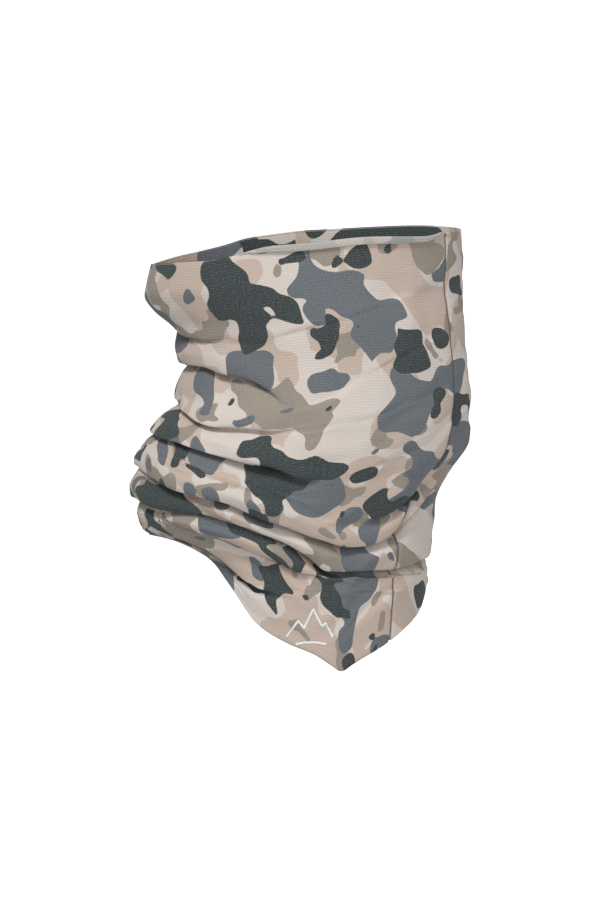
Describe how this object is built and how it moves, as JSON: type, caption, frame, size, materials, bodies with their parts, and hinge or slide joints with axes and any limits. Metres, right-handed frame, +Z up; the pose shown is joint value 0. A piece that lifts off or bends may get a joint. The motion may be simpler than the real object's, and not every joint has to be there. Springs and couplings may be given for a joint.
{
  "type": "neck gaiter",
  "caption": "Printed jersey neck gaiter as worn: a smooth face sleeve, gathered folds round the neck and a pointed chest skirt, closed by an overlocked seam.",
  "frame": {"origin": "middle of the neck opening, at the height where the neck gathers end and the chest skirt begins", "axes": "+Z up along the wearer's neck towards the face opening, -Y to the front where the printed mark and the chest point are, +X to the side that carries the seam"},
  "size_m": [0.204, 0.1451, 0.261],
  "materials": {
    "printed_jersey": "matte stretch jersey with a camouflage print",
    "cut_edge": "matte, raw curled jersey edge",
    "seam_cloth": "matte, unprinted face of the jersey",
    "overlock_thread": "spun polyester thread",
    "print_film": "heat-transfer film, satin",
    "label_satin": "satin ribbon, blank"
  },
  "bodies": {
    "skirt": {"chest_skirt": "printed_jersey", "bottom_edge_curl": "cut_edge", "seam_allowance_skirt": "seam_cloth", "overlock_thread_skirt": "overlock_thread", "printed_ridge": "print_film", "printed_ground": "print_film", "care_label": "label_satin", "label_tack": "overlock_thread"},
    "sleeve": {"face_sleeve": "printed_jersey", "top_edge_curl": "cut_edge", "seam_allowance_sleeve": "seam_cloth", "overlock_thread_sleeve": "overlock_thread"},
    "roll_upper": {"neck_roll_upper": "printed_jersey", "seam_allowance_upper": "seam_cloth", "overlock_thread_upper": "overlock_thread"},
    "roll_middle": {"neck_roll_middle": "printed_jersey", "seam_allowance_middle": "seam_cloth", "overlock_thread_middle": "overlock_thread"},
    "roll_lower": {"neck_roll_lower": "printed_jersey", "seam_allowance_lower": "seam_cloth", "overlock_thread_lower": "overlock_thread"}
  },
  "joints": [
    {"name": "sleeve_slide", "type": "slide", "parent": "skirt", "child": "sleeve", "axis": [0, 0, 1], "range_m": [0, 0.06]},
    {"name": "roll_upper_slide", "type": "slide", "parent": "skirt", "child": "roll_upper", "axis": [0, 0, 1], "range_m": [0, 0.05]},
    {"name": "roll_middle_slide", "type": "slide", "parent": "skirt", "child": "roll_middle", "axis": [0, 0, 1], "range_m": [0, 0.03]},
    {"name": "roll_lower_slide", "type": "slide", "parent": "skirt", "child": "roll_lower", "axis": [0, 0, 1], "range_m": [0, 0.01]}
  ],
  "couplings": [
    {"joint": "roll_upper_slide", "follows": "sleeve_slide", "ratio": 0.8},
    {"joint": "roll_middle_slide", "follows": "sleeve_slide", "ratio": 0.4},
    {"joint": "roll_lower_slide", "follows": "sleeve_slide", "ratio": 0.1}
  ]
}
